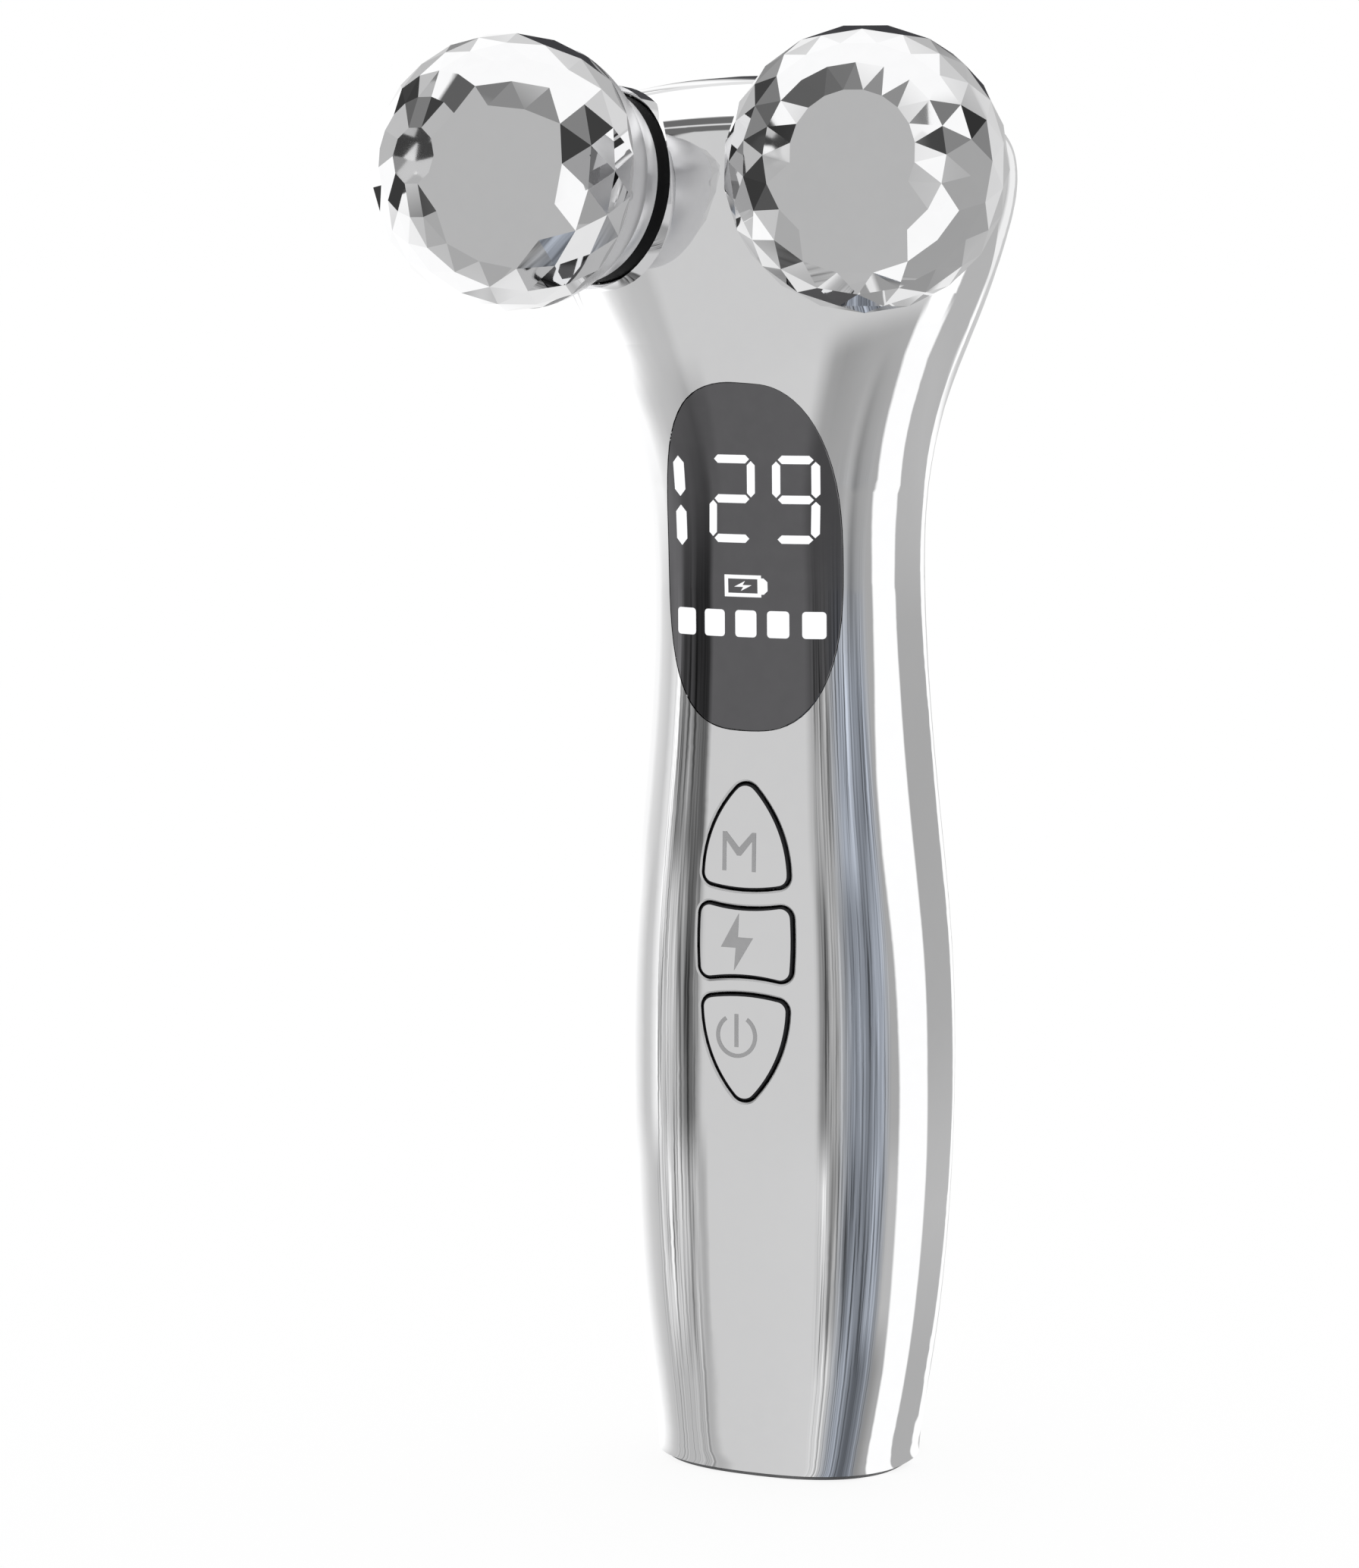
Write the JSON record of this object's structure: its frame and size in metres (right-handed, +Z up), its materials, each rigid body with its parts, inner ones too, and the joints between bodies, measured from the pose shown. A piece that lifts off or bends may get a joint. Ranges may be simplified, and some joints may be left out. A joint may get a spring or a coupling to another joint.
{
  "type": "facial toning device",
  "caption": "Hand-held facial toning roller with a waisted chrome handle, faceted rollers on a forward-leaning head, an oval display window and flush buttons.",
  "frame": {"origin": "centre of the flat base of the handle, where it rests on a surface", "axes": "+Z up the handle, -Y towards the front with the window, buttons and rollers, +X towards the right-hand roller as seen from the front"},
  "size_m": [0.0718, 0.057, 0.1615],
  "materials": {
    "board_green": "satin solder mask",
    "bracket_nylon": "fine matte",
    "brass": "turned",
    "cap_plastic": "satin dark gray",
    "cell_can": "blue sleeve on a metal can",
    "ferrite": "matte",
    "hub_aluminium": "turned",
    "key_chrome": "mirror plating",
    "keypad_silicone": "matte",
    "lead_pvc": "satin insulation",
    "light_box_white": "matte",
    "ring_black": "satin black",
    "roller_chrome": "mirror plating, cut facets",
    "seal_rubber": "matte",
    "shell_chrome": "mirror plating on moulded plastic",
    "smoked_lens": "smoked, highly glossy",
    "socket_nickel": "satin nickel",
    "steel": "ground",
    "switch_plastic": "matte"
  },
  "bodies": {
    "housing": {"axle_contacts": "brass", "base_cap": "cap_plastic", "battery_cell": "cell_can", "battery_cradle": "bracket_nylon", "battery_leads": "lead_pvc", "board_screws": "steel", "boost_coil": "ferrite", "bracket_screws": "steel", "button_keypad": "keypad_silicone", "charge_board": "board_green", "charge_leads": "lead_pvc", "charging_socket": "socket_nickel", "display_module": "light_box_white", "display_window": "smoked_lens", "electrode_leads": "lead_pvc", "front_shell": "shell_chrome", "head_bracket": "bracket_nylon", "left_axle": "steel", "left_axle_nut": "steel", "left_retaining_clip": "steel", "left_seal_ring": "ring_black", "main_board": "board_green", "rear_shell": "shell_chrome", "right_axle": "steel", "right_axle_nut": "steel", "right_retaining_clip": "steel", "right_seal_ring": "ring_black", "tact_switches": "switch_plastic", "window_gasket": "seal_rubber"},
    "left_roller": {"left_ball": "roller_chrome", "left_ball_bushes": "brass", "left_ball_hub": "hub_aluminium"},
    "right_roller": {"right_ball": "roller_chrome", "right_ball_bushes": "brass", "right_ball_hub": "hub_aluminium"},
    "mode_key": {"mode_button": "key_chrome"},
    "level_key": {"level_button": "key_chrome"},
    "power_key": {"power_button": "key_chrome"}
  },
  "joints": [
    {"name": "left_ball_spin", "type": "hinge", "parent": "housing", "child": "left_roller", "pos_m": [-0.021, -0.0283, 0.1467], "axis": [-0.2908, -0.9511, 0.1045], "continuous": true},
    {"name": "right_ball_spin", "type": "hinge", "parent": "housing", "child": "right_roller", "pos_m": [0.021, -0.0283, 0.1467], "axis": [0.2908, -0.9511, 0.1045], "continuous": true},
    {"name": "mode_press", "type": "slide", "parent": "housing", "child": "mode_key", "axis": [0, 1, 0], "range_m": [0, 0.0005], "stiffness_N_per_m": 2000},
    {"name": "level_press", "type": "slide", "parent": "housing", "child": "level_key", "axis": [0, 1, 0], "range_m": [0, 0.0005], "stiffness_N_per_m": 2000},
    {"name": "power_press", "type": "slide", "parent": "housing", "child": "power_key", "axis": [0, 1, 0], "range_m": [0, 0.0005], "stiffness_N_per_m": 2000}
  ]
}
